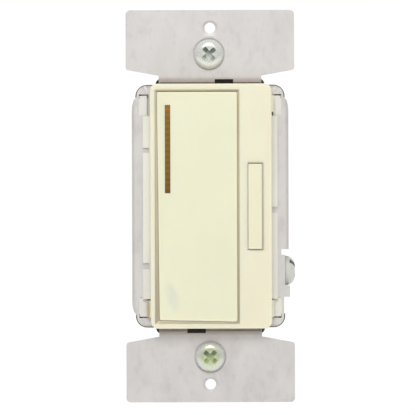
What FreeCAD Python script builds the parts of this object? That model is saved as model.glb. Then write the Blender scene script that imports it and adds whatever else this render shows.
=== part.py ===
import FreeCAD, Part
import math
import os
import Sketcher

# Wall dimmer for a single-gang device box: a push pad, a slim brighten/dim rocker and a
# light bar in a clip-on frame, carried on a metal heat-sink strap with a rear housing.
# X is to the right, Z is up, and the front faces -Y. The strap's rear face is at Y = 0.

Vector = FreeCAD.Vector
os.makedirs("parts", exist_ok=True)
doc = FreeCAD.newDocument("dimmer")


# ---------------------------------------------------------------- driving dimensions

class Size:
    """A length together with the spreadsheet expression that drives it."""

    def __init__(self, value, text):
        self.value = value
        self.text = text

    def __add__(self, other):
        other = as_size(other)
        return Size(self.value + other.value, f"({self.text} + {other.text})")

    def __sub__(self, other):
        other = as_size(other)
        return Size(self.value - other.value, f"({self.text} - {other.text})")

    def __mul__(self, other):
        other = as_size(other)
        return Size(self.value * other.value, f"{self.text} * {other.text}")

    def __truediv__(self, other):
        other = as_size(other)
        return Size(self.value / other.value, f"{self.text} / {other.text}")

    def __neg__(self):
        return Size(-self.value, f"(0 - {self.text})")


def as_size(number):
    """A plain number as a Size, so that both can be mixed in sums."""
    if isinstance(number, Size):
        return number
    text = repr(float(number))
    return Size(float(number), f"({text})" if number < 0 else text)


DIMENSIONS = [
    # strap: ears, neck, plate and side flanges
    ("strap_thickness", 1.6), ("strap_length", 106.6), ("ear_width", 45.8),
    ("ear_inner", 37.1), ("neck_width", 27.9), ("neck_shoulder", 35.5),
    ("plate_height", 65.5), ("plate_edge", 20.0), ("plate_step_high", 29.7),
    ("ear_radius", 1.2), ("plate_radius", 2.8),
    ("flange_edge", 21.3), ("flange_half", 25.8), ("flange_depth", 10.0),
    ("flange_end", -11.75),
    ("relief_edge", 15.0), ("relief_depth", 0.8),
    # strap: holes
    ("cover_screw_pitch", 96.84), ("cover_hole_radius", 1.45), ("cover_sink_radius", 2.0),
    ("box_screw_pitch", 83.34), ("box_slot_radius", 2.1), ("box_slot_length", 6.4),
    ("box_recess_radius", 4.35), ("box_recess_depth", 0.35),
    ("window_inner", 16.7), ("window_outer", 19.3), ("window_low", 24.7), ("window_high", 30.4),
    ("snap_inner", 1.3), ("snap_outer", 6.3), ("snap_low", 32.4), ("snap_high", 34.5),
    ("groove_start", 32.9), ("groove_upper_end", 33.65), ("groove_lower_end", 34.0),
    ("groove_depth", 0.6),
    # ground terminal
    ("ground_height", -17.6), ("ground_depth", 4.6), ("ground_tab_face", 20.3),
    ("ground_tab_inner", 19.3), ("ground_tab_top", -13.4), ("ground_tab_foot", -24.7),
    ("ground_stop_edge", 21.6), ("ground_stop_top", -21.75),
    # screws; the box screws hang loose in their slots, a little nearer the middle
    ("upper_screw_across", -0.25), ("upper_screw_up", 41.32),
    ("lower_screw_across", -0.1), ("lower_screw_up", -40.95),
    ("box_head_radius", 4.0), ("box_head_height", 2.4), ("box_shank_radius", 1.7),
    ("box_shank_length", 24.0), ("box_neck_radius", 1.25), ("box_neck_length", 3.0),
    ("ground_head_radius", 4.0), ("ground_head_height", 2.7), ("ground_shank_radius", 1.9),
    ("ground_shank_length", 4.0), ("terminal_head_radius", 3.5),
    ("terminal_head_height", 2.1), ("terminal_shank_radius", 1.7),
    ("terminal_shank_length", 5.0), ("screw_play", 0.06),
    # clip-on frame
    ("frame_right", 16.7), ("frame_left_top", -16.35), ("frame_left_foot", -16.15),
    ("frame_height", 66.4), ("tab_edge", 17.25), ("tab_top", 30.2), ("tab_foot", 25.6),
    ("frame_front", -6.6), ("frame_radius", 2.0), ("frame_skin", 1.5),
    ("pad_opening_left", -15.0), ("pad_opening_right", 7.9), ("pad_opening_top", 31.55),
    ("pad_opening_foot", -31.9), ("key_gap_left", 0.2), ("key_gap_right", 0.42),
    ("key_gap_top", 0.4), ("key_gap_foot", 0.25),
    # push pad, its hinge line and the cradle behind it
    ("pad_front", -7.4), ("pad_skin", 1.3), ("pad_rim_back", -5.0), ("pad_left_top", -14.42),
    ("pad_left_foot", -13.8), ("pad_right", 7.3), ("pad_top", 30.95), ("pad_foot_left", -30.85),
    ("pad_foot_right", -31.35), ("pad_rim_left", -13.0), ("pad_rim_right", 6.2),
    ("pad_rim_top", 30.15), ("pad_rim_foot", -29.7), ("hinge_height", 28.6),
    ("hinge_depth", -4.3), ("hinge_rod_radius", 0.8), ("hinge_play", 0.07),
    ("cradle_front", -4.6), ("cradle_thickness", 1.0), ("cradle_left", -9.8),
    ("cradle_right", 5.6), ("cradle_top", 26.6), ("cradle_foot", -29.2),
    # light bar
    ("slit_left", -12.25), ("slit_right", -10.8), ("slit_top", 27.4), ("slit_foot", 3.5),
    ("slit_recess", 0.35),
    # brighten/dim rocker
    ("key_centre", 12.15), ("key_middle", -0.12), ("key_width", 3.66), ("key_height", 23.1),
    ("key_front", -7.2), ("key_back", -3.6), ("key_pin_depth", -4.4), ("key_pin_radius", 0.6),
    ("key_switch_offset", 8.0),
    # front carrier and inner tray
    ("carrier_front", -2.4), ("lip_edge", 18.3), ("lip_top", 24.5), ("lip_foot", -25.2),
    ("carrier_half_height", 32.2), ("carrier_half_width", 15.2),
    ("tray_thickness", 1.6), ("tray_half_width", 19.2), ("tray_half_height", 32.3),
    ("lug_inner", 17.1), ("lug_top", 30.0), ("lug_front", -1.3),
    # rear housing
    ("housing_half_width", 18.9), ("housing_half_height", 34.7), ("housing_side_height", 32.6),
    ("housing_neck_half", 14.8), ("housing_back", 30.5), ("housing_wall", 1.8),
    ("corner_lug_edge", 20.3), ("corner_lug_end", 33.03), ("corner_lug_radius", 3.1),
    ("corner_lug_thickness", 1.6),
    ("terminal_height", 13.0), ("terminal_depth", 17.0), ("terminal_floor", 15.4),
    # boards
    ("control_front", 6.0), ("board_thickness", 1.2), ("power_front", 24.0),
    ("pad_switch_height", 4.6), ("switch_front", 3.0), ("plunger_front", -3.1),
    ("plunger_radius", 1.4),
]

sheet = doc.addObject("Spreadsheet::Sheet", "dims")
SIZES = {}
for row, (name, value) in enumerate(DIMENSIONS, 1):
    sheet.set(f"A{row}", name)
    sheet.set(f"B{row}", str(value))
    sheet.setAlias(f"B{row}", name)
    SIZES[name] = Size(float(value), f"dims.{name}")
doc.recompute()


def size(name):
    """The named driving dimension."""
    return SIZES[name]


# ---------------------------------------------------------------- drawing helpers

PLANES = {"X": "YZ_Plane", "Y": "XZ_Plane", "Z": "XY_Plane"}


def rect(left, right, low, high):
    """Outline of a rectangle, as corner points."""
    return [(left, low), (right, low), (right, high), (left, high)]


def ring(across, up, radius):
    """Outline of a circle."""
    return {"centre": (across, up), "radius": radius}


def lock(sketch, shape, point, across, up):
    """Fixes one point of a sketch shape to driven distances from the origin."""
    for kind, distance in (("DistanceX", as_size(across)), ("DistanceY", as_size(up))):
        index = sketch.addConstraint(
            Sketcher.Constraint(kind, -1, 1, shape, point, distance.value))
        sketch.setExpression(f"Constraints[{index}]", distance.text)


def draw_polygon(sketch, points):
    """A closed run of straight lines with every corner fixed."""
    first = sketch.GeometryCount
    corners = [Vector(as_size(a).value, as_size(b).value, 0) for a, b in points]
    count = len(corners)
    for index in range(count):
        line = Part.LineSegment(corners[index], corners[(index + 1) % count])
        sketch.addGeometry(line)
    for index, (across, up) in enumerate(points):
        following = first + (index + 1) % count
        sketch.addConstraint(
            Sketcher.Constraint("Coincident", first + index, 2, following, 1))
        lock(sketch, first + index, 1, across, up)


def draw_circle(sketch, outline):
    """A circle with a driven centre and radius."""
    across, up = outline["centre"]
    radius = as_size(outline["radius"])
    centre = Vector(as_size(across).value, as_size(up).value, 0)
    shape = sketch.GeometryCount
    sketch.addGeometry(Part.Circle(centre, Vector(0, 0, 1), radius.value))
    lock(sketch, shape, 3, across, up)
    index = sketch.addConstraint(Sketcher.Constraint("Radius", shape, radius.value))
    sketch.setExpression(f"Constraints[{index}]", radius.text)


def draw(body, name, axis, level, outlines):
    """A sketch of closed outlines, square to an axis at the given level on it."""
    sketch = body.newObject("Sketcher::SketchObject", f"{name}_sketch")
    plane = next(p for p in body.Origin.OriginFeatures if p.Role == PLANES[axis])
    sketch.AttachmentSupport = [(plane, "")]
    sketch.MapMode = "FlatFace"
    offset = -as_size(level) if axis == "Y" else as_size(level)
    sketch.setExpression("AttachmentOffset.Base.z", offset.text)
    for outline in outlines:
        if isinstance(outline, dict):
            draw_circle(sketch, outline)
        else:
            draw_polygon(sketch, outline)
    return sketch


def pad(body, name, axis, low, high, outlines):
    """Adds material between two levels on an axis."""
    start = high if axis == "Y" else low
    feature_sketch = draw(body, name, axis, start, outlines)
    feature = body.newObject("PartDesign::Pad", name)
    feature.Profile = feature_sketch
    feature.setExpression("Length", (as_size(high) - low).text)
    doc.recompute()


def pocket(body, name, axis, low, high, outlines):
    """Removes material between two levels on an axis."""
    start = low if axis == "Y" else high
    before = body.Shape.Volume
    feature_sketch = draw(body, name, axis, start, outlines)
    feature = body.newObject("PartDesign::Pocket", name)
    feature.Profile = feature_sketch
    feature.setExpression("Length", (as_size(high) - low).text)
    doc.recompute()
    if body.Shape.Volume > before - 1e-6:
        raise ValueError(f"{body.Label}: {name} removes nothing")


def round_edges(body, name, radius, wanted):
    """Rounds the edges that the test picks out."""
    base = body.Tip
    edges = [f"Edge{number}" for number, edge in enumerate(base.Shape.Edges, 1)
             if wanted(edge.BoundBox)]
    if not edges:
        raise ValueError(f"{body.Label}: {name} finds no edge")
    feature = body.newObject("PartDesign::Fillet", name)
    feature.Base = (base, edges)
    feature.setExpression("Radius", as_size(radius).text)
    doc.recompute()


def near(value, target):
    """True when two coordinates agree."""
    return abs(value - as_size(target).value) < 0.01


def at_level(box, level):
    """True when an edge lies flat at one level on Y."""
    return near(box.YMin, level) and near(box.YMax, level)


def upright_corner(box, across, up):
    """True when an edge runs along Y at the given distances from the middle lines."""
    return (box.YLength > 0.3 and near(abs(box.XMin), across) and near(abs(box.ZMin), up)
            and near(box.XMin, box.XMax) and near(box.ZMin, box.ZMax))


NODES = {}


def new_body(name):
    """An empty sub-part body."""
    body = doc.addObject("PartDesign::Body", name)
    body.Label = name
    NODES[name] = body
    doc.recompute()
    return body


def box(name, across, deep, up):
    """A rectangular block between pairs of levels on X, Y and Z."""
    block = doc.addObject("Part::Box", name)
    for side, axis, (low, high) in zip(
            ("Length", "Width", "Height"), "xyz", (across, deep, up)):
        block.setExpression(side, (as_size(high) - low).text)
        block.setExpression(f"Placement.Base.{axis}", as_size(low).text)
    return block


TURNS = {"X": FreeCAD.Rotation(Vector(0, 1, 0), 90),
         "Y": FreeCAD.Rotation(Vector(1, 0, 0), -90),
         "Z": FreeCAD.Rotation()}


def rod(name, axis, low, high, centre, radius):
    """A cylinder along an axis; the centre gives its other two coordinates in order."""
    cylinder = doc.addObject("Part::Cylinder", name)
    base = dict(zip([a for a in "XYZ" if a != axis], centre))
    base[axis] = low
    cylinder.Placement = FreeCAD.Placement(Vector(0, 0, 0), TURNS[axis])
    cylinder.setExpression("Radius", as_size(radius).text)
    cylinder.setExpression("Height", (as_size(high) - low).text)
    for letter in "XYZ":
        cylinder.setExpression(f"Placement.Base.{letter.lower()}", as_size(base[letter]).text)
    return cylinder


def fuse(name, shapes):
    """One solid from several."""
    joined = doc.addObject("Part::MultiFuse", name)
    joined.Shapes = shapes
    doc.recompute()
    return joined


def cut(name, base, tools):
    """A solid with others taken out of it."""
    tool = tools[0] if len(tools) == 1 else fuse(f"{name}_tools", tools)
    result = doc.addObject("Part::Cut", name)
    result.Base = base
    result.Tool = tool
    doc.recompute()
    return result


def node(name, shape):
    """Registers a finished object as a sub-part."""
    shape.Label = name
    NODES[name] = shape


def both(value):
    """A value and its negative, as low and high."""
    return (-as_size(value), as_size(value))


# ---------------------------------------------------------------- shared positions

strap_front = -size("strap_thickness")
plate_half = size("plate_height") / 2
neck_half = size("neck_width") / 2
ear_half = size("ear_width") / 2
strap_half = size("strap_length") / 2
cover_screw = size("cover_screw_pitch") / 2
box_slot = size("box_screw_pitch") / 2
box_screw_sites = [(end, size(f"{end}_screw_across"), size(f"{end}_screw_up"))
                   for end in ("upper", "lower")]
slot_reach = size("box_slot_length") / 2
shoulder = size("neck_shoulder")
flange_inner = size("flange_edge") - size("strap_thickness")
hinge_centre = (size("hinge_depth"), size("hinge_height"))
key_pin_centre = (size("key_pin_depth"), size("key_middle"))
key_left = size("key_centre") - size("key_width") / 2
key_right = size("key_centre") + size("key_width") / 2
key_top = size("key_middle") + size("key_height") / 2
key_foot = size("key_middle") - size("key_height") / 2
brighten_height = size("key_middle") + size("key_switch_offset")
dim_height = size("key_middle") - size("key_switch_offset")
pad_switch = (as_size(0), size("pad_switch_height"))
air_gap_height = as_size(-25.6)
air_gap_sides = (("left", as_size(-4.0)), ("right", as_size(0.4)))
post_across = as_size(13.2)
post_up = as_size(29.2)
control_back = size("control_front") + size("board_thickness")
power_back = size("power_front") + size("board_thickness")
cradle_back = size("cradle_front") + size("cradle_thickness")
pad_inside = size("pad_front") + size("pad_skin")
baffle_left = size("slit_left") - 0.45
baffle_right = size("slit_right") + 0.45
baffle_top = as_size(26.7)
baffle_foot = as_size(2.9)


# ---------------------------------------------------------------- strap

def strap_outline():
    """Front outline of the strap, clockwise from the upper left ear."""
    half = plate_half
    relief = half - size("relief_depth")
    edge = size("plate_edge")
    flange = size("flange_edge")
    top = [(ear_half, strap_half), (ear_half, size("ear_inner")), (neck_half, shoulder),
           (neck_half, relief), (size("relief_edge"), relief), (size("relief_edge"), half)]
    flange_end = size("flange_half")
    side = [(edge, half), (edge, size("plate_step_high")), (flange - 0.45, flange_end + 2.8),
            (flange - 0.1, flange_end + 1.4), (flange, flange_end)]
    right = [(flange, size("flange_end")), (size("window_outer"), size("flange_end")),
             (size("window_outer"), size("ground_tab_top")),
             (size("ground_tab_face"), size("ground_tab_top")),
             (size("ground_tab_face"), size("ground_stop_top")),
             (size("ground_stop_edge"), size("ground_stop_top")),
             (size("ground_stop_edge"), size("ground_tab_foot")),
             (edge, size("ground_tab_foot")), (edge, -half)]
    points = top + side + right
    points += [(across, -up) for across, up in reversed(top)]
    points += [(-across, -up) for across, up in top]
    points += [(-across, -up) for across, up in side]
    points += [(-across, up) for across, up in reversed(side)]
    points += [(-across, up) for across, up in reversed(top)]
    return points


def make_strap():
    """Stamped heat-sink strap with ears, windows, bent side flanges and ground tab."""
    strap = new_body("mounting_strap")
    pad(strap, "plate", "Y", strap_front, 0, [strap_outline()])
    pad(strap, "left_flange", "Y", -0.4, size("flange_depth"), [rect(
        -size("flange_edge"), -flange_inner, -size("flange_half"), size("flange_half"))])
    pad(strap, "right_flange", "Y", -0.4, size("flange_depth"), [rect(
        flange_inner, size("flange_edge"), size("flange_end"), size("flange_half"))])
    pad(strap, "ground_tab", "Y", -0.4, size("ground_depth") + 4.4, [rect(
        size("ground_tab_inner"), size("ground_tab_face"), size("ground_tab_foot"),
        size("ground_tab_top"))])
    pad(strap, "wire_stop", "Y", -0.4, size("ground_depth") + 1.4, [rect(
        size("ground_tab_inner"), size("ground_stop_edge"), size("ground_tab_foot"),
        size("ground_stop_top"))])

    windows = []
    for side in (-1, 1):
        inner = size("window_inner") * side
        outer = size("window_outer") * side
        for end in (-1, 1):
            low = size("window_low") * end
            high = size("window_high") * end
            windows.append([(inner, low), (outer, low), (outer, high), (inner, high)])
    pocket(strap, "corner_windows", "Y", strap_front, 0, windows)

    openings = [
        rect(size("slit_left") - 0.8, size("slit_right") + 0.8, baffle_foot - 0.5,
             baffle_top + 0.5),
        rect(size("key_centre") - 2.3, size("key_centre") + 2.3, dim_height - 2.5,
             brighten_height + 2.5),
        ring(pad_switch[0], pad_switch[1], 2.4),
        ring(0, 23.0, 1.5),
    ]
    openings += [ring(across, air_gap_height, 1.9) for _, across in air_gap_sides]
    openings += [ring(across, up, 1.0)
                 for across in both(post_across) for up in both(post_up)]
    pocket(strap, "inner_openings", "Y", strap_front, 0, openings)

    snap_slots = [
        rect(size("snap_inner"), size("snap_outer"), size("snap_low"), size("snap_high")),
        rect(-size("snap_outer"), -size("snap_inner"), -size("snap_high"),
             -size("snap_low"))]
    pocket(strap, "snap_slots", "Y", strap_front, 0, snap_slots)

    pocket(strap, "frame_grooves", "Y", strap_front, strap_front + size("groove_depth"), [
        rect(-neck_half + 0.3, neck_half - 0.3, size("groove_start"),
             size("groove_upper_end")),
        rect(-neck_half + 0.3, neck_half - 0.3, -size("groove_lower_end"),
             -size("groove_start"))])

    cover_holes = [ring(0, up, size("cover_hole_radius")) for up in both(cover_screw)]
    pocket(strap, "cover_screw_holes", "Y", strap_front, 0, cover_holes)
    cover_sinks = [ring(0, up, size("cover_sink_radius")) for up in both(cover_screw)]
    pocket(strap, "cover_screw_sinks", "Y", strap_front, strap_front + 0.5, cover_sinks)

    slot_radius = size("box_slot_radius")
    bars = [rect(-(slot_reach - slot_radius), slot_reach - slot_radius,
                 up - slot_radius, up + slot_radius) for up in both(box_slot)]
    pocket(strap, "box_screw_slots", "Y", strap_front, 0, bars)
    for end, across in (("left", slot_radius - slot_reach), ("right", slot_reach - slot_radius)):
        ends = [ring(across, up, slot_radius) for up in both(box_slot)]
        pocket(strap, f"box_slot_{end}_ends", "Y", strap_front, 0, ends)
    seats = [ring(across, up, size("box_recess_radius"))
             for _, across, up in box_screw_sites]
    pocket(strap, "box_screw_seats", "Y", strap_front,
           strap_front + size("box_recess_depth"), seats)
    pocket(strap, "ground_screw_hole", "X", size("ground_tab_inner"),
           size("ground_tab_face"), [ring(
               size("ground_depth"), size("ground_height"),
               size("ground_shank_radius") + size("screw_play"))])

    round_edges(strap, "ear_corners", size("ear_radius"),
                lambda edge: upright_corner(edge, ear_half, strap_half))
    round_edges(strap, "ear_inner_corners", 0.8,
                lambda edge: upright_corner(edge, ear_half, size("ear_inner")))
    round_edges(strap, "plate_corners", size("plate_radius"),
                lambda edge: upright_corner(edge, size("plate_edge"), plate_half))
    round_edges(strap, "flange_bends", 1.0,
                lambda edge: (at_level(edge, strap_front) and edge.ZLength > 35
                              and near(abs(edge.XMin), size("flange_edge"))))


def make_screw(name, head_radius, head_height, shank_radius, shank_length, drive, neck=None,
               dome=0.62):
    """A pan-head screw standing on its head's seat, with its axis along local Z.

    The neck, where there is one, is a slimmer stretch under the head. The dome is the
    share of the head's height that is rounded.
    """
    screw = new_body(name)
    outline = [(0, -shank_length), (shank_radius - 0.4, -shank_length),
               (shank_radius, -shank_length + 0.6)]
    if neck:
        neck_radius, neck_length = neck
        outline += [(shank_radius, -neck_length), (neck_radius, -neck_length),
                    (neck_radius, 0)]
    else:
        outline.append((shank_radius, 0))
    outline += [(head_radius, 0), (head_radius, head_height), (0, head_height)]
    profile = draw(screw, "profile", "Y", 0, [outline])
    turned = screw.newObject("PartDesign::Revolution", "turned")
    turned.Profile = profile
    turned.ReferenceAxis = (profile, ["V_Axis"])
    turned.Angle = 360
    doc.recompute()
    top = as_size(head_height)
    round_edges(screw, "head_dome", top * dome,
                lambda edge: near(edge.ZMin, top) and near(edge.ZMax, top))
    slot_depth = top - top * 0.45
    arm = as_size(head_radius) * 0.52
    pocket(screw, "drive_slot", "Z", slot_depth, top, [
        rect(-as_size(head_radius), head_radius, -0.55, 0.55)])
    if drive == "combination":
        pocket(screw, "cross_drive", "Z", slot_depth - 0.35, top, [
            rect(-0.5, 0.5, -arm, arm), ])
        pocket(screw, "cross_arm", "Z", slot_depth - 0.35, slot_depth, [
            rect(-arm, arm, -0.5, 0.5), ])
    return screw


def place(body, turn, across, deep, up):
    """Puts a body at a driven position."""
    body.Placement = FreeCAD.Placement(Vector(0, 0, 0), turn)
    for letter, value in (("x", across), ("y", deep), ("z", up)):
        body.setExpression(f"Placement.Base.{letter}", as_size(value).text)
    doc.recompute()


FACING = {"front": FreeCAD.Rotation(Vector(1, 0, 0), 90),
          "right": FreeCAD.Rotation(Vector(0, 1, 0), 90),
          "left": FreeCAD.Rotation(Vector(0, 1, 0), -90),
          "back": FreeCAD.Rotation(Vector(1, 0, 0), -90)}


def make_strap_screws():
    """Box screws with their fibre retainers, and the ground screw."""
    seat = strap_front + size("box_recess_depth") - 0.05
    for end, across, up in box_screw_sites:
        screw = make_screw(f"box_screw_{end}", size("box_head_radius"),
                           size("box_head_height"), size("box_shank_radius"),
                           size("box_shank_length"), "combination",
                           (size("box_neck_radius"), size("box_neck_length")))
        place(screw, FACING["front"], across, seat, up)
        washer = new_body(f"screw_retainer_{end}")
        pad(washer, "disc", "Y", 0, 0.8, [
            ring(across, up, 4.2),
            ring(across, up, size("box_neck_radius") + size("screw_play"))])
    ground = make_screw("ground_screw", size("ground_head_radius"),
                        size("ground_head_height"), size("ground_shank_radius"),
                        size("ground_shank_length"), "combination", dome=0.9)
    place(ground, FACING["right"], size("ground_tab_face") + 0.05, size("ground_depth"),
          size("ground_height"))


# ---------------------------------------------------------------- front parts

def make_frame():
    """Clip-on frame around the push pad and the rocker."""
    frame = new_body("bezel_frame")
    half_height = size("frame_height") / 2
    front = size("frame_front")
    back = size("carrier_front")
    right = size("frame_right")
    left_top, left_foot = size("frame_left_top"), size("frame_left_foot")
    pad(frame, "block", "Y", front, back, [[
        (left_foot, -half_height), (right, -half_height), (right, half_height),
        (left_top, half_height)]])
    round_edges(frame, "corners", size("frame_radius"),
                lambda edge: any(upright_corner(edge, across, half_height)
                                 for across in (right, -left_top, -left_foot)))
    round_edges(frame, "front_edge", 0.5, lambda edge: at_level(edge, front))
    pocket(frame, "pad_opening", "Y", front, back, [rect(
        size("pad_opening_left"), size("pad_opening_right"), size("pad_opening_foot"),
        size("pad_opening_top"))])
    pocket(frame, "key_opening", "Y", front, back, [rect(
        key_left - size("key_gap_left"), key_right + size("key_gap_right"),
        key_foot - size("key_gap_foot"), key_top + size("key_gap_top"))])
    pocket(frame, "rear_hollow", "Y", front + size("frame_skin"), back, [rect(
        size("pad_opening_right") + 1.0, right - 1.3, size("pad_opening_foot"),
        size("pad_opening_top"))])
    for name, side, end, tab_front in (("upper_right", 1, 1, -4.0),
                                       ("lower_right", 1, -1, -2.9),
                                       ("lower_left", -1, -1, -2.9)):
        root, edge = as_size(15.7) * side, size("tab_edge") * side
        low, high = size("tab_foot") * end, size("tab_top") * end
        pad(frame, f"{name}_tab", "Y", tab_front, strap_front - 0.1, [[
            (root, low), (edge, low), (edge, high), (root, high)]])
    tongue_in = size("snap_inner") + 0.3
    tongue_out = size("snap_outer") - 0.3
    tongue_low = size("snap_low") + 0.15
    tongue_high = half_height - 0.1
    pad(frame, "snap_tongues", "Y", back - 0.5, 0, [
        rect(tongue_in, tongue_out, tongue_low, tongue_high),
        rect(-tongue_out, -tongue_in, -tongue_high, -tongue_low)])


def make_carrier():
    """White plate on the front of the strap that holds the hinge rod and the rocker pin."""
    carrier = new_body("front_carrier")
    front = size("carrier_front")
    lip = size("lip_edge")
    inner = size("carrier_half_width") + 1.4
    half = size("carrier_half_height")
    body = size("carrier_half_width")
    left_notches = [(15.9, 14.5), (-15.4, -17.1)]
    points = [(body, half), (body, size("lip_top")), (lip, size("lip_top")),
              (lip, -0.2), (inner, -0.2), (inner, -1.8), (lip, -1.8),
              (lip, size("lip_foot")), (body, size("lip_foot")), (body, -half),
              (-body, -half), (-body, size("lip_foot")), (-lip, size("lip_foot"))]
    for high, low in reversed(left_notches):
        points += [(-lip, low), (-inner, low), (-inner, high), (-lip, high)]
    points += [(-lip, size("lip_top")), (-body, size("lip_top")), (-body, half)]
    pad(carrier, "plate", "Y", front, strap_front, [points])
    plunger_hole = size("plunger_radius") + 0.3
    holes = [
        rect(baffle_left - 0.2, baffle_right + 0.2, baffle_foot - 0.2, baffle_top + 0.2),
        ring(size("key_centre"), brighten_height, plunger_hole),
        ring(size("key_centre"), dim_height, plunger_hole),
        ring(pad_switch[0], pad_switch[1], plunger_hole)]
    holes += [ring(across, air_gap_height, 1.25) for _, across in air_gap_sides]
    pocket(carrier, "openings", "Y", front, strap_front, holes)

    lug_front = size("hinge_depth") - 1.5
    pad(carrier, "hinge_lugs", "Y", lug_front, front + 0.2, [
        rect(left, left + 1.1, size("hinge_height") - 1.5, size("hinge_height") + 1.4)
        for left in (as_size(-11.3), as_size(4.4))])
    pocket(carrier, "hinge_bore", "X", -11.5, 5.7, [
        ring(hinge_centre[0], hinge_centre[1], size("hinge_rod_radius"))])
    key_lug_front = size("key_pin_depth") - 0.65
    pad(carrier, "key_lugs", "Y", key_lug_front, front + 0.2, [
        rect(left, left + 0.9, size("key_middle") - 1.4, size("key_middle") + 1.4)
        for left in (key_left - 1.25, key_right + 0.35)])
    pocket(carrier, "key_bore", "X", key_left - 1.5, key_right + 1.5, [
        ring(key_pin_centre[0], key_pin_centre[1], size("key_pin_radius"))])
    pad(carrier, "posts", "Y", front + 0.2, size("control_front"), [
        ring(across, up, 0.9) for across in both(post_across) for up in both(post_up)])
    node("hinge_rod", rod("hinge_rod", "X", -11.3, 5.5, hinge_centre,
                          size("hinge_rod_radius")))
    node("rocker_pin", rod("rocker_pin", "X", key_left - 1.25, key_right + 1.25,
                           key_pin_centre, size("key_pin_radius")))


def make_push_pad():
    """Large push pad: a shallow shell with hinge ears, a switch boss and the light slit."""
    front = size("pad_front")
    button = new_body("push_pad")
    pad(button, "block", "Y", front, size("pad_rim_back"), [[
        (size("pad_left_foot"), size("pad_foot_left")), (size("pad_right"),
                                                         size("pad_foot_right")),
        (size("pad_right"), size("pad_top")), (size("pad_left_top"), size("pad_top"))]])
    round_edges(button, "corners", 0.3,
                lambda edge: edge.YLength > 1 and edge.XLength < 0.1 and edge.ZLength < 0.1)
    round_edges(button, "front_edge", 0.3, lambda edge: at_level(edge, front))
    pocket(button, "rear_hollow", "Y", pad_inside, size("pad_rim_back"), [rect(
        size("pad_rim_left"), size("pad_rim_right"), size("pad_rim_foot"),
        size("pad_rim_top"))])
    pocket(button, "light_slit", "Y", front, pad_inside, [rect(
        size("slit_left"), size("slit_right"), size("slit_foot"), size("slit_top"))])
    pad(button, "hinge_ears", "Y", pad_inside - 0.2, size("hinge_depth") + 1.4, [
        rect(left, left + 1.2, size("hinge_height") - 1.4, size("hinge_height") + 1.4)
        for left in (as_size(-8.2), as_size(1.4))])
    pocket(button, "hinge_bore", "X", -8.4, 2.8, [ring(
        hinge_centre[0], hinge_centre[1], size("hinge_rod_radius") + size("hinge_play"))])
    pad(button, "switch_boss", "Y", pad_inside - 0.2, size("plunger_front") - 0.1, [
        ring(pad_switch[0], pad_switch[1], 1.4)])

    lens = new_body("light_bar_lens")
    pad(lens, "bar", "Y", front + size("slit_recess"), pad_inside, [rect(
        size("slit_left"), size("slit_right"), size("slit_foot"), size("slit_top"))])


def make_cradle():
    """Service cradle that swings out with the pad and opens the air gap."""
    cradle = new_body("pad_cradle")
    front = size("cradle_front")
    left = size("cradle_left")
    right = size("cradle_right")
    top = size("cradle_top")
    foot = size("cradle_foot")
    pad(cradle, "plate", "Y", front, cradle_back, [rect(left, right, foot, top)])
    pocket(cradle, "window", "Y", front, cradle_back, [rect(
        left + 2.4, right - 2.4, foot + 7.6, top - 2.4)])
    pad(cradle, "hinge_ears", "X", left, left + 1.2, [rect(
        size("hinge_depth") - 1.4, size("hinge_depth") + 1.4, top - 1.0,
        size("hinge_height") + 1.4)])
    pad(cradle, "hinge_ear_right", "X", 2.9, 4.1, [rect(
        size("hinge_depth") - 1.4, size("hinge_depth") + 1.4, top - 1.0,
        size("hinge_height") + 1.4)])
    pocket(cradle, "hinge_bore", "X", left - 0.2, 4.3, [ring(
        hinge_centre[0], hinge_centre[1], size("hinge_rod_radius") + size("hinge_play"))])

    (_, left_contact), (_, right_contact) = air_gap_sides
    bridge = new_body("air_gap_bridge")
    pad(bridge, "strip", "Y", cradle_back, cradle_back + 0.4, [rect(
        left_contact - 1.4, right_contact + 1.4, air_gap_height - 1.2,
        air_gap_height + 1.2)])
    pad(bridge, "buttons", "Y", cradle_back + 0.3, cradle_back + 0.9, [
        ring(across, air_gap_height, 1.0) for _, across in air_gap_sides])
    for side, across in air_gap_sides:
        contact = new_body(f"air_gap_contact_{side}")
        pad(contact, "pin", "Y", cradle_back + 0.95, size("control_front"), [
            ring(across, air_gap_height, 1.2)])


def make_rocker():
    """Slim brighten/dim rocker on a pin at its middle."""
    rocker = new_body("dimming_rocker")
    front = size("key_front")
    back = size("key_back")
    pad(rocker, "bar", "Y", front, back, [rect(key_left, key_right, key_foot, key_top)])
    round_edges(rocker, "corners", 0.3,
                lambda edge: edge.YLength > 1 and edge.XLength < 0.1 and edge.ZLength < 0.1)
    round_edges(rocker, "front_edge", 0.15, lambda edge: at_level(edge, front))
    middle = size("key_middle")
    pocket(rocker, "rear_hollows", "Y", front + 1.3, back, [
        rect(key_left + 0.8, key_right - 0.8, middle + 1.6, brighten_height - 1.5),
        rect(key_left + 0.8, key_right - 0.8, dim_height + 1.5, middle - 1.6)])
    pocket(rocker, "pin_bore", "X", key_left, key_right, [ring(
        key_pin_centre[0], key_pin_centre[1], size("key_pin_radius") + size("hinge_play"))])
    pad(rocker, "switch_bosses", "Y", back - 0.2, size("plunger_front") - 0.1, [
        ring(size("key_centre"), up, 0.9) for up in (brighten_height, dim_height)])


# ---------------------------------------------------------------- rear parts

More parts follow.
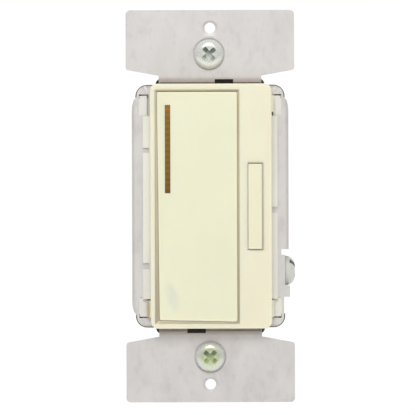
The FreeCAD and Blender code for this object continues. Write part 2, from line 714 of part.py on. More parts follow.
def make_tray():
    """White tray behind the strap, with lugs that fill the strap's corner windows."""
    tray = new_body("inner_tray")
    back = size("tray_thickness")
    half_width = size("tray_half_width")
    pad(tray, "plate", "Y", 0, back, [rect(
        -half_width, half_width, -size("tray_half_height"), size("tray_half_height"))])
    round_edges(tray, "corners", 4.2, lambda edge: upright_corner(
        edge, half_width, size("tray_half_height")))
    pocket(tray, "opening", "Y", 0, back, [rect(-16.4, 16.4, -30.4, 30.4)])
    lugs = []
    gaps_beside = {(-1, 1): 0.1, (-1, -1): 0.1, (1, 1): 0.0, (1, -1): 0.0}
    for (side, end), gap in gaps_beside.items():
        inner = (size("lug_inner") + gap) * side
        outer = half_width * side
        low = size("window_low") * end
        high = size("lug_top") * end
        lugs.append([(inner, low), (outer, low), (outer, high), (inner, high)])
    pad(tray, "lugs", "Y", size("lug_front"), 0.4, lugs)


def terminal_sites():
    """Name, side and height of each line-voltage terminal."""
    return (("line", -1, size("terminal_height")), ("load", -1, -size("terminal_height")),
            ("traveler", 1, size("terminal_height")))


def make_housing():
    """Rear housing: a deep box with recessed terminal seats in its sides."""
    housing = new_body("rear_housing")
    rim = size("tray_thickness")
    back = size("housing_back")
    width = size("housing_half_width")
    side = size("housing_side_height")
    neck = size("housing_neck_half")
    height = size("housing_half_height")
    pad(housing, "block", "Y", rim, back, [[
        (width, -side), (width, side), (neck, side), (neck, height), (-neck, height),
        (-neck, side), (-width, side), (-width, -side), (-neck, -side), (-neck, -height),
        (neck, -height), (neck, -side)]])
    round_edges(housing, "corners", 1.5,
                lambda edge: (upright_corner(edge, width, side)
                              or upright_corner(edge, neck, height)))
    round_edges(housing, "back_edge", 1.0, lambda edge: at_level(edge, back))
    lug_edge, lug_end = size("corner_lug_edge"), size("corner_lug_end")
    lug_root, lug_start = neck - 1.0, size("plate_step_high") - 0.4
    for side_name, sign in (("left", -1), ("right", 1)):
        across = sorted((lug_root * sign, lug_edge * sign), key=lambda level: level.value)
        pad(housing, f"{side_name}_corner_lugs", "Y", rim, rim + size("corner_lug_thickness"), [
            rect(across[0], across[1], lug_start, lug_end),
            rect(across[0], across[1], -lug_end, -lug_start)])
    round_edges(housing, "lug_corners", size("corner_lug_radius"),
                lambda edge: upright_corner(edge, lug_edge, lug_end))
    wall = size("housing_wall")
    inside = width - wall
    pocket(housing, "cavity", "Y", rim, back - wall, [rect(
        -inside, inside, wall - side, side - wall)])

    panel_half_width, panel_half_height = width - 5.0, side - 6.0
    pocket(housing, "back_panel", "Y", back - 0.5, back, [rect(
        -panel_half_width, panel_half_width, -panel_half_height, panel_half_height)])
    pocket(housing, "ejector_marks", "Y", back - 0.8, back - 0.5, [
        ring(across, up, 1.6) for across in both(9.0) for up in both(20.0)])
    groove_end = side - 4.0
    grooves = [rect(front, front + 0.8, -groove_end, groove_end) for front in (25.6, 27.2)]
    pocket(housing, "right_grooves", "X", width - 0.5, width, grooves)
    pocket(housing, "left_grooves", "X", -width, -(width - 0.5), grooves)

    floor = size("terminal_floor")
    deep = size("terminal_depth")
    for name, sign, up in terminal_sites():
        across = sorted((floor * sign - 1.5 * sign, width * sign - 0.5 * sign),
                        key=lambda level: level.value)
        pad(housing, f"{name}_seat_block", "X", across[0], across[1], [rect(
            deep - 6.9, size("power_front") - 0.1, up - 6.5, up + 6.5)])
        recess = sorted((floor * sign, width * sign), key=lambda level: level.value)
        pocket(housing, f"{name}_recess", "X", recess[0], recess[1], [rect(
            deep - 5.5, deep + 5.5, up - 5.0, up + 5.0)])
        bore = sorted((floor * sign, floor * sign - 1.5 * sign),
                      key=lambda level: level.value)
        pocket(housing, f"{name}_holes", "X", bore[0], bore[1], [
            ring(deep, up, size("terminal_shank_radius") + 0.1),
            rect(deep + 2.9, deep + 4.1, up - 2.1, up + 2.1)])

    ground = size("ground_height")
    pad(housing, "ground_block", "X", floor - 1.4, width - 0.5, [rect(
        rim, size("ground_depth") + 6.0, ground - 7.2, ground + 6.8)])
    pocket(housing, "ground_recess", "X", floor, width, [rect(
        rim, size("ground_depth") + 4.6, ground - 5.8, ground + 5.4)])


def make_terminals():
    """Terminal plates with their screws, recessed in the housing's sides."""
    floor = size("terminal_floor")
    deep = size("terminal_depth")
    for name, sign, up in terminal_sites():
        def levels(first, second):
            """Two distances from the middle plane, turned to this terminal's side."""
            ends = (as_size(first) * sign, as_size(second) * sign)
            return sorted(ends, key=lambda level: level.value)

        plate = box(f"{name}_plate", levels(floor, floor + 1.0),
                    (deep - 4.6, deep + 4.6), (up - 4.4, up + 4.4))
        tail = box(f"{name}_tail", levels(12.6, floor + 0.5),
                   (deep + 3.0, deep + 4.0), (up - 2.0, up + 2.0))
        leg = box(f"{name}_leg", levels(12.6, 13.4),
                  (deep + 3.0, size("power_front")), (up - 2.0, up + 2.0))
        bore = rod(f"{name}_bore", "X", *levels(floor - 0.5, floor + 1.5), (deep, up),
                   size("terminal_shank_radius") + size("screw_play"))
        joined = fuse(f"{name}_blank", [plate, tail, leg])
        node(f"{name}_terminal", cut(f"{name}_terminal", joined, [bore]))
        screw = make_screw(f"{name}_screw", size("terminal_head_radius"),
                           size("terminal_head_height"), size("terminal_shank_radius"),
                           size("terminal_shank_length"), "combination")
        facing = FACING["right"] if sign > 0 else FACING["left"]
        place(screw, facing, (floor + 1.05) * sign, deep, up)


def make_boards():
    """Control board behind the strap and power board at the back of the housing."""
    control = new_body("control_board")
    notch_x = as_size(13.6)
    notch_top = size("ground_height") + 7.0
    notch_foot = size("ground_height") - 7.4
    edge = as_size(16.2)
    pad(control, "board", "Y", size("control_front"), control_back, [[
        (-edge, -30), (edge, -30), (edge, notch_foot), (notch_x, notch_foot),
        (notch_x, notch_top), (edge, notch_top), (edge, 30), (-edge, 30)]])
    power = new_body("power_board")
    pad(power, "board", "Y", size("power_front"), power_back, [rect(-16.6, 16.6, -30.4, 30.4)])

    pin_side, pin_pitch, pin_first, pin_height = 0.64, 2.54, -6.67, -27.3
    pins = []
    for number in range(6):
        across = pin_first + pin_pitch * number
        pins.append(box(f"pin_{number + 1}", (across, across + pin_side),
                        (control_back, size("power_front")),
                        (pin_height, pin_height + pin_side)))
    strip = box("header_strip", (-7.6, 7.0), (control_back, control_back + 2.5),
                (-28.2, -25.8))
    node("board_header", fuse("board_header", [strip] + pins))


def make_switches():
    """Three board switches, each a square body with a sliding plunger."""
    radius = size("plunger_radius")
    sites = (("pad", pad_switch[0], pad_switch[1]),
             ("brighten", size("key_centre"), brighten_height),
             ("dim", size("key_centre"), dim_height))
    for name, across, up in sites:
        shell = new_body(f"{name}_switch")
        pad(shell, "shell", "Y", size("switch_front"), size("control_front"), [
            rect(across - 2.1, across + 2.1, up - 2.1, up + 2.1)])
        pocket(shell, "bore", "Y", size("switch_front"), size("control_front") - 0.6, [
            ring(across, up, radius + 0.1)])
        plunger = new_body(f"{name}_plunger")
        pad(plunger, "stem", "Y", size("plunger_front"), size("switch_front") + 1.2, [
            ring(across, up, radius)])


def make_light_bar():
    """Level LEDs on the control board and the channel that carries their light."""
    level_count = 7
    cell_pitch, cell_height = 3.4, 2.8
    cell_left, cell_right = size("slit_left") - 0.05, size("slit_right") + 0.05
    board = size("control_front")
    leds = []
    for number in range(level_count):
        middle = baffle_foot + 1.6 + cell_pitch * number
        leds.append(box(f"led_{number + 1}", (-12.1, -11.1), (board - 0.8, board),
                        (middle - 0.8, middle + 0.8)))
    lights = doc.addObject("Part::Compound", "level_leds")
    lights.Links = leds
    doc.recompute()
    node("level_leds", lights)
    baffle = new_body("light_baffle")
    front = as_size(-5.2)
    pad(baffle, "block", "Y", front, board, [
        rect(baffle_left, baffle_right, baffle_foot, baffle_top)])
    cells = []
    for number in range(level_count):
        low = baffle_foot + 0.3 + cell_pitch * number
        cells.append(rect(cell_left, cell_right, low, low + cell_height))
    pocket(baffle, "cells", "Y", front, board, cells)


def make_chip():
    """Microcontroller on the front of the control board, with a row of leads a side."""
    board = size("control_front")
    lead_count, lead_pitch, lead_width, lead_first = 8, 0.85, 0.4, -15.1
    body = box("chip_body", (0.5, 7.5), (board - 1.2, board - 0.1), (-15.5, -8.5))
    leads = []
    for number in range(lead_count):
        low = lead_first + lead_pitch * number
        leads.append(box(f"chip_lead_{number + 1}", (-0.4, 8.4), (board - 0.3, board),
                         (low, low + lead_width)))
    node("microcontroller", fuse("microcontroller", [body] + leads))


def make_triac():
    """Triac screwed flat to the back of the strap over an insulating sheet."""
    screw_height = 23.0
    sheet_thickness, tab_back, case_back = 0.3, 1.6, 4.7
    lead_front, lead_back, lead_pitch, lead_half = 2.6, 3.2, 2.54, 0.4
    hole = 1.7
    blank = box("insulator_sheet", (-6, 6), (0, sheet_thickness), (9.2, 27))
    node("triac_insulator", cut("triac_insulator", blank, [
        rod("insulator_hole", "Y", -0.2, sheet_thickness + 0.2, (0, screw_height), hole)]))
    solids = [box("triac_tab", (-5.1, 5.1), (sheet_thickness, tab_back), (10, 26)),
              box("triac_case", (-5.1, 5.1), (sheet_thickness, case_back), (10, 19.2))]
    for number, middle in enumerate((-lead_pitch, 0.0, lead_pitch), 1):
        across = (middle - lead_half, middle + lead_half)
        solids.append(box(f"triac_leg_{number}", across, (lead_front, lead_back), (8.6, 10.2)))
        solids.append(box(f"triac_foot_{number}", across,
                          (lead_front, size("control_front")), (8.0, 8.6)))
    node("triac", cut("triac", fuse("triac_blank", solids), [
        rod("triac_hole", "Y", 0, 2, (0, screw_height), hole)]))
    screw = make_screw("triac_screw", as_size(2.8), as_size(1.9), as_size(1.45), as_size(2.9),
                       "slot")
    place(screw, FACING["back"], 0, tab_back, screw_height)


def make_choke():
    """Ring core standing on the power board, wound with separate turns of wire."""
    deep, up = 19.6, 18.5
    ring_radius, core_radius = 6.2, 2.8
    turn_radius, wire_radius, turn_count = 3.25, 0.38, 18
    core = doc.addObject("Part::Torus", "choke_core")
    core.Radius1 = ring_radius
    core.Radius2 = core_radius
    core.Placement = FreeCAD.Placement(
        Vector(0, deep, up), FreeCAD.Rotation(Vector(1, 0, 0), 90))
    node("choke_core", core)
    turns = []
    for number in range(turn_count):
        angle = 2 * math.pi * number / turn_count
        turn = doc.addObject("Part::Torus", f"turn_{number + 1}")
        turn.Radius1 = turn_radius
        turn.Radius2 = wire_radius
        centre = Vector(ring_radius * math.cos(angle), deep,
                        up + ring_radius * math.sin(angle))
        tangent = Vector(-math.sin(angle), 0, math.cos(angle))
        turn.Placement = FreeCAD.Placement(centre, FreeCAD.Rotation(Vector(0, 0, 1), tangent))
        turns.append(turn)
    winding = doc.addObject("Part::Compound", "choke_winding")
    winding.Links = turns
    doc.recompute()
    node("choke_winding", winding)


def make_capacitor_box(name, front, outline, edge_radius):
    """A moulded box capacitor standing on the power board."""
    capacitor = new_body(name)
    pad(capacitor, "case", "Y", front, size("power_front"), [outline])
    round_edges(capacitor, "edges", edge_radius,
                lambda edge: at_level(edge, front) or edge.YLength > 5)


def make_power_parts():
    """Capacitors, varistor and fusible resistor on the power board."""
    board = size("power_front")
    make_capacitor_box("film_capacitor", 13, rect(-10.5, -0.5, -6, 6), 0.8)
    make_capacitor_box("snubber_capacitor", 15, rect(5.2, 10.6, -21, -9.5), 0.7)

    can_centre = (5.6, 0)
    node("electrolytic_capacitor", fuse("electrolytic_capacitor", [
        rod("can_body", "Y", 10, board, can_centre, 4.6),
        rod("can_collar", "Y", board - 2.0, board, can_centre, 4.9)]))

    lead_side = 0.6
    solids = [rod("varistor_disc", "Z", -13.6, -9.8, (-5.4, 17.6), 4.8)]
    for number, left in enumerate((-8.2, -3.2), 1):
        solids.append(box(f"varistor_lead_{number}", (left, left + lead_side), (21, board),
                          (-12.0, -12.0 + lead_side)))
    node("varistor", fuse("varistor", solids))

    barrel_deep, barrel_up, barrel_radius = 20.6, -19.5, 2.0
    wire_left, wire_right = -10.9, 3.9
    deep = (barrel_deep - lead_side / 2, barrel_deep + lead_side / 2)
    up = (barrel_up - lead_side / 2, barrel_up + lead_side / 2)
    solids = [rod("resistor_barrel", "X", -9, 2, (barrel_deep, barrel_up), barrel_radius),
              box("resistor_wire", (wire_left, wire_right), deep, up)]
    for number, left in enumerate((wire_left, wire_right - lead_side), 1):
        solids.append(box(f"resistor_lead_{number}", (left, left + lead_side),
                          (deep[0], board), up))
    node("fusible_resistor", fuse("fusible_resistor", solids))


make_strap()
make_strap_screws()
make_frame()
make_carrier()
make_push_pad()
make_cradle()
make_rocker()
make_tray()
make_housing()
make_terminals()
make_boards()
make_switches()
make_light_bar()
make_chip()
make_triac()
make_choke()
make_power_parts()
doc.recompute()


# ---------------------------------------------------------------- checks and export

for item in doc.Objects:
    if "Invalid" in item.State or "Error" in item.State:
        raise ValueError(f"{item.Label} did not rebuild: {item.State}")
for name, item in NODES.items():
    if item.Shape.isNull() or not item.Shape.isValid() or not item.Shape.Solids:
        raise ValueError(f"{name} is not a sound solid")
    item.Shape.exportStep(f"parts/{name}.step")
print(f"{len(NODES)} sub-parts written")
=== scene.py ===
import math
from collections import namedtuple
from functools import partial

import bmesh
import bpy
from mathutils import Matrix, Vector


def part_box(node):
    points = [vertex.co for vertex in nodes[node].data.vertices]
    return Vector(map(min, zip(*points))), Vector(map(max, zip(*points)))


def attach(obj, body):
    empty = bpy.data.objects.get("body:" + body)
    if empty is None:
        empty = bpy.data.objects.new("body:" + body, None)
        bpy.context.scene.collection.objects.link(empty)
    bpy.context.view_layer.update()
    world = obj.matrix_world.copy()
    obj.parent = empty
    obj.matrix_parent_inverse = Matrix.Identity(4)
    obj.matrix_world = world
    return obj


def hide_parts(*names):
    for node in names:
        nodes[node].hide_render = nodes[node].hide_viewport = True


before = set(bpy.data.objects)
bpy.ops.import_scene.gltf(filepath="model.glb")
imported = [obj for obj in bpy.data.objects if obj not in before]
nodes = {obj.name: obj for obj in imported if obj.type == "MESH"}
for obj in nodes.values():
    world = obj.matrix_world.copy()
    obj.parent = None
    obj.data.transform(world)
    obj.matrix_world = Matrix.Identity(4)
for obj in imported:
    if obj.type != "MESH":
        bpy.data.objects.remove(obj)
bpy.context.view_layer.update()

# Lengths are in mm in the row frame (x right, y back, z up) until MM turns them into metres.
MM = 0.001
WHITE = (1, 1, 1)
EVEN = (1, 1, 1)


def box_mm(name):
    """The lowest and highest corner of a CAD node, in mm."""
    return tuple(Vector(corner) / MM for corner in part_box(name))


def middle_mm(name):
    """The middle of a CAD node's box, in mm."""
    low, high = box_mm(name)
    return (low + high) / 2


# ------------------------------------------------------------------ shader helpers

def add(tree, kind, **settings):
    """A node with its settings; names that start with in_ set input sockets."""
    node = tree.nodes.new(kind)
    for key, value in settings.items():
        if key.startswith("in_"):
            node.inputs[key[3:].replace("_", " ")].default_value = value
        else:
            setattr(node, key, value)
    return node


def new_material(name):
    """A node material, with its tree, its Principled shader and the object's coordinates."""
    material = bpy.data.materials.new(name)
    material.use_nodes = True
    tree = material.node_tree
    place = add(tree, "ShaderNodeTexCoord").outputs["Object"]
    return material, tree, tree.nodes["Principled BSDF"], place


def ranged(tree, value, start, end, low=0.0, high=1.0, curve="LINEAR"):
    """A value between start and end, turned into one between low and high."""
    node = add(tree, "ShaderNodeMapRange", interpolation_type=curve, in_From_Min=start,
               in_From_Max=end, in_To_Min=low, in_To_Max=high)
    tree.links.new(value, node.inputs["Value"])
    return node.outputs["Result"]


def spread(tree, factor, low, high):
    """The middle of a noise, turned into a range of values."""
    return ranged(tree, factor, 0.3, 0.7, low, high)


def axis_of(tree, place, axis):
    """One of the coordinates of a place."""
    split = add(tree, "ShaderNodeSeparateXYZ")
    tree.links.new(place, split.inputs["Vector"])
    return split.outputs[axis]


def vector_math(tree, operation, vector, by=None):
    """A vector operation, with a constant where it takes one."""
    node = add(tree, "ShaderNodeVectorMath", operation=operation)
    tree.links.new(vector, node.inputs[0])
    if by is not None:
        node.inputs[1].default_value = by
    return node.outputs["Value" if operation == "LENGTH" else "Vector"]


def mixed(tree, factor, colour, other, blend="MIX"):
    """A colour blended with another, an output or a constant; without a factor, in full."""
    node = add(tree, "ShaderNodeMix", data_type="RGBA", blend_type=blend, in_Factor=1.0)
    if factor is not None:
        tree.links.new(factor, node.inputs["Factor"])
    # a Mix node's sockets 6 and 7, and its output 2, are the ones for colours
    tree.links.new(colour, node.inputs[6])
    if isinstance(other, tuple):
        node.inputs[7].default_value = (*other, 1)
    else:
        tree.links.new(other, node.inputs[7])
    return node.outputs[2]


def ramped(tree, factor, stops):
    """The colour for a factor, from stops (position, colour) in rising order."""
    ramp = add(tree, "ShaderNodeValToRGB")
    elements = ramp.color_ramp.elements
    for element, (position, colour) in zip(elements, (stops[0], stops[-1])):
        element.position = position
        element.color = (*colour, 1)
    for position, colour in stops[1:-1]:
        elements.new(position).color = (*colour, 1)
    tree.links.new(factor, ramp.inputs["Fac"])
    return ramp.outputs["Color"]


def shades(tree, factor, dark, light, low=0.35, high=0.65):
    """Two colours mixed by a factor, between two stops."""
    return ramped(tree, factor, ((low, dark), (high, light)))


def noise(tree, place, scale, detail=3.0, stretch=EVEN, rough=0.55):
    """Noise over the object's own coordinates, in features per metre."""
    mapping = add(tree, "ShaderNodeMapping", in_Scale=stretch)
    tree.links.new(place, mapping.inputs["Vector"])
    texture = add(tree, "ShaderNodeTexNoise", in_Scale=scale, in_Detail=detail,
                  in_Roughness=rough)
    tree.links.new(mapping.outputs["Vector"], texture.inputs["Vector"])
    return texture.outputs["Fac"]


def bump(tree, shader, heights):
    """Bump from several height factors, each with its depth in metres."""
    normal = None
    for factor, depth in heights:
        node = add(tree, "ShaderNodeBump", in_Strength=1.0, in_Distance=depth)
        tree.links.new(factor, node.inputs["Height"])
        if normal is not None:
            tree.links.new(normal, node.inputs["Normal"])
        normal = node.outputs["Normal"]
    tree.links.new(normal, shader.inputs["Normal"])


def worn_edges(tree, colour, wear, low=0.53, high=0.60):
    """A colour that turns to the wear colour along convex edges."""
    edges = add(tree, "ShaderNodeNewGeometry").outputs["Pointiness"]
    return mixed(tree, ranged(tree, edges, low, high), colour, wear)


def scaled(colour, by):
    """A colour made darker or lighter."""
    return tuple(min(1.0, channel * by) for channel in colour)


# ------------------------------------------------------------------ plastics and metals

def plastic(name, colour, rough=0.42, grain=9000, depth=0.000004, mottle=0.97, glow=0.0):
    """Moulded plastic: faint cloudiness, a fine eroded grain and uneven gloss.

    The glow is how much light sinks in and comes out warmer near by.
    """
    material, tree, shader, place = new_material(name)
    cloud = noise(tree, place, 70, 4)
    fine = noise(tree, place, grain, 2)
    base = shades(tree, cloud, scaled(colour, mottle), colour)
    base = worn_edges(tree, base, scaled(colour, 1.04), 0.54, 0.66)
    tree.links.new(base, shader.inputs["Base Color"])
    tree.links.new(spread(tree, cloud, rough - 0.04, rough + 0.05), shader.inputs["Roughness"])
    bump(tree, shader, [(fine, depth), (noise(tree, place, 260, 2), depth * 3)])
    shader.inputs["Specular IOR Level"].default_value = 0.4
    shader.inputs["Subsurface Weight"].default_value = glow
    shader.inputs["Subsurface Radius"].default_value = (1.0, 0.88, 0.70)
    shader.inputs["Subsurface Scale"].default_value = 0.0011
    return material


def ivory(name, colour, rough=0.45, grain=9000, depth=0.000004, glow=0.5):
    """The ivory plastic of the front, which lets some light in."""
    return plastic(name, colour, rough, grain, depth, glow=glow)


RIM_START = 2.2
RIM_END = 3.5


def metal(name, colour, rough=0.35, stretch=EVEN, line=3500, depth=0.000002, metallic=0.9,
          mottle=0.9, rim=None, centre=None):
    """Metal: rolling or turning lines, a cloudy surface film and brighter worn edges.

    With a rim colour, a screw head that faces forward is that colour away from its centre.
    """
    material, tree, shader, place = new_material(name)
    film = noise(tree, place, 160, 5, rough=0.65)
    lines = noise(tree, place, line, 3, stretch)
    base = shades(tree, film, scaled(colour, mottle), colour, 0.3, 0.7)
    if rim:
        offset = vector_math(tree, "SUBTRACT", place, centre * MM)
        sideways = vector_math(tree, "MULTIPLY", offset, (1, 0, 1))
        reach = vector_math(tree, "LENGTH", sideways)
        base = mixed(tree, ranged(tree, reach, RIM_START * MM, RIM_END * MM), base, rim)
    base = worn_edges(tree, base, scaled(colour, 1.12))
    tree.links.new(base, shader.inputs["Base Color"])
    tree.links.new(spread(tree, lines, rough - 0.08, rough + 0.1), shader.inputs["Roughness"])
    bump(tree, shader, [(lines, depth), (film, depth * 2)])
    shader.inputs["Metallic"].default_value = metallic
    return material


def plated(name, colour, rough, metallic, **settings):
    """Zinc plating: a smooth metal with very fine lines."""
    return metal(name, colour, rough, line=14000, depth=0.0000003, metallic=metallic,
                 **settings)


def tinted(material, factor_of, tint):
    """Darkens or colours a material by a tint, where the factor is high."""
    tree = material.node_tree
    base = tree.nodes["Principled BSDF"].inputs["Base Color"]
    place = add(tree, "ShaderNodeTexCoord").outputs["Object"]
    colour = base.links[0].from_socket
    tree.links.new(mixed(tree, factor_of(tree, place), colour, tint, "MULTIPLY"), base)
    return material


def along(axis, start, end):
    """A factor that grows along one axis, from 0 at the start to 1 at the end."""
    def factor(tree, place):
        return ranged(tree, axis_of(tree, place, axis), start * MM, end * MM)
    return factor


def scuff(across, up, half_width, half_height, lean):
    """A factor for one cloudy scuff, strongest at its middle; it leans by some degrees."""
    def factor(tree, place):
        mapping = add(tree, "ShaderNodeMapping", vector_type="TEXTURE",
                      in_Location=(across * MM, 0, up * MM),
                      in_Rotation=(0, math.radians(lean), 0),
                      in_Scale=(half_width * MM, 1, half_height * MM))
        tree.links.new(place, mapping.inputs["Vector"])
        reach = vector_math(tree, "LENGTH", mapping.outputs["Vector"])
        both = add(tree, "ShaderNodeMath", operation="MULTIPLY")
        tree.links.new(ranged(tree, reach, 1.0, 0.2, curve="SMOOTHSTEP"), both.inputs[0])
        tree.links.new(spread(tree, noise(tree, place, 700, 3), 0.55, 1.0), both.inputs[1])
        return both.outputs[0]
    return factor


# ------------------------------------------------------------------ other materials

NECK_RANGE = 40.0
NECK_PAINTED_SHADOW = (
    # height and painted shade of the strap next to the frame's ends, where the frame's shadow
    # falls, longer below it
    (-NECK_RANGE, WHITE), (-36.5, WHITE), (-35.2, (0.95, 0.94, 0.935)),
    (-34.4, (0.66, 0.62, 0.59)), (-33.0, (0.55, 0.50, 0.47)), (-32.0, WHITE), (32.0, WHITE),
    (33.0, (0.60, 0.54, 0.51)), (34.3, (0.74, 0.69, 0.67)), (35.2, WHITE),
)


def strap_metal():
    """Mill-finish aluminium: cool grey, mottled, with faint handling marks and painted shadow
    next to the frame's ends.
    """
    colour = (0.745, 0.718, 0.695)
    material, tree, shader, place = new_material("strap_aluminium")
    cloud = noise(tree, place, 95, 5, (1, 1, 0.7), 0.6)
    patch = noise(tree, place, 420, 4, (1, 1, 0.6), 0.7)
    lines = noise(tree, place, 2600, 3, (1, 1, 0.06))
    base = shades(tree, cloud, scaled(colour, 0.93), colour, 0.36, 0.62)
    marks = shades(tree, patch, (0.93, 0.92, 0.925), WHITE, 0.34, 0.5)
    base = mixed(tree, None, base, marks, "MULTIPLY")
    # painted shadow of the frame on the strap, set by height
    height = ranged(tree, axis_of(tree, place, "Z"), -NECK_RANGE * MM, NECK_RANGE * MM)
    painted_neck_shadow = ramped(tree, height, [(0.5 + level / NECK_RANGE / 2, shade)
                                  for level, shade in NECK_PAINTED_SHADOW])
    base = mixed(tree, None, base, painted_neck_shadow, "MULTIPLY")
    tree.links.new(base, shader.inputs["Base Color"])
    tree.links.new(spread(tree, patch, 0.46, 0.62), shader.inputs["Roughness"])
    bump(tree, shader, [(lines, 0.0000025), (cloud, 0.00001)])
    shader.inputs["Metallic"].default_value = 0.55
    shader.inputs["Specular IOR Level"].default_value = 0.5
    return material


RIB_PITCH = 1.519
LENS_COLOURS = (
    # share of the lens's height, from its foot, and colour
    (0.0, (0.205, 0.106, 0.021)), (0.3, (0.232, 0.132, 0.022)),
    (0.86, (0.268, 0.146, 0.023)), (1.0, (0.42, 0.170, 0.026)),
)


def lens_material():
    """Amber light bar: a smoky strip with fine soft ribs painted as light and dark stripes,
    paler at its top.
    """
    material, tree, shader, place = new_material("amber_lens")
    up = axis_of(tree, place, "Z")
    # the ribs are painted shading: one light and one dark stripe in the colour for each rib
    wave = add(tree, "ShaderNodeMath", operation="MULTIPLY")
    wave.inputs[1].default_value = 2 * math.pi / (RIB_PITCH * MM)
    tree.links.new(up, wave.inputs[0])
    painted_rib_shade = add(tree, "ShaderNodeMath", operation="SINE")
    tree.links.new(wave.outputs[0], painted_rib_shade.inputs[0])
    low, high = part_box("light_bar_lens")
    strip = ramped(tree, ranged(tree, up, low[2], high[2]), LENS_COLOURS)
    base = add(tree, "ShaderNodeVectorMath", operation="SCALE")
    tree.links.new(strip, base.inputs[0])
    tree.links.new(ranged(tree, painted_rib_shade.outputs[0], -1.0, 1.0, 0.88, 1.12), base.inputs["Scale"])
    tree.links.new(base.outputs["Vector"], shader.inputs["Base Color"])
    speck = noise(tree, place, 2400, 3)
    tree.links.new(spread(tree, speck, 0.28, 0.42), shader.inputs["Roughness"])
    bump(tree, shader, [(speck, 0.000004)])
    shader.inputs["Specular IOR Level"].default_value = 0.2
    return material


def board_material():
    """Green solder mask over faint copper traces."""
    material, tree, shader, place = new_material("solder_mask")
    mapping = add(tree, "ShaderNodeMapping", in_Rotation=(math.pi / 2, 0, 0))
    tree.links.new(place, mapping.inputs["Vector"])
    brick = add(tree, "ShaderNodeTexBrick", in_Scale=260.0,
                in_Color1=(0.014, 0.115, 0.050, 1), in_Color2=(0.020, 0.150, 0.068, 1),
                in_Mortar=(0.035, 0.230, 0.100, 1))
    tree.links.new(mapping.outputs["Vector"], brick.inputs["Vector"])
    tree.links.new(brick.outputs["Color"], shader.inputs["Base Color"])
    weave = noise(tree, place, 2600, 2)
    tree.links.new(spread(tree, weave, 0.28, 0.4), shader.inputs["Roughness"])
    bump(tree, shader, [(brick.outputs["Fac"], 0.00002), (weave, 0.000003)])
    return material


def fibre_material():
    """Vulcanised fibre: dull red-brown with a visible pulp."""
    material, tree, shader, place = new_material("red_fibre")
    pulp = noise(tree, place, 1500, 5, rough=0.7)
    base = shades(tree, pulp, (0.20, 0.055, 0.030), (0.36, 0.115, 0.065))
    tree.links.new(base, shader.inputs["Base Color"])
    tree.links.new(spread(tree, pulp, 0.75, 0.9), shader.inputs["Roughness"])
    bump(tree, shader, [(pulp, 0.00002)])
    return material


def thermal_pad():
    """Grey filled silicone sheet with a woven carrier showing through."""
    material, tree, shader, place = new_material("thermal_pad")
    weave = add(tree, "ShaderNodeTexWave", in_Scale=900.0, in_Distortion=0.6)
    tree.links.new(place, weave.inputs["Vector"])
    base = shades(tree, weave.outputs["Fac"], (0.30, 0.30, 0.29), (0.42, 0.42, 0.40), 0, 1)
    tree.links.new(base, shader.inputs["Base Color"])
    shader.inputs["Roughness"].default_value = 0.8
    bump(tree, shader, [(weave.outputs["Fac"], 0.00001)])
    return material


# ------------------------------------------------------------------ finishes

frame_left = box_mm("bezel_frame")[0].x
upper_head = middle_mm("box_screw_upper")
lower_head = middle_mm("box_screw_lower")
pad_scuff = scuff(across=-10.4, up=-24.5, half_width=2.4, half_height=5.6, lean=-16)

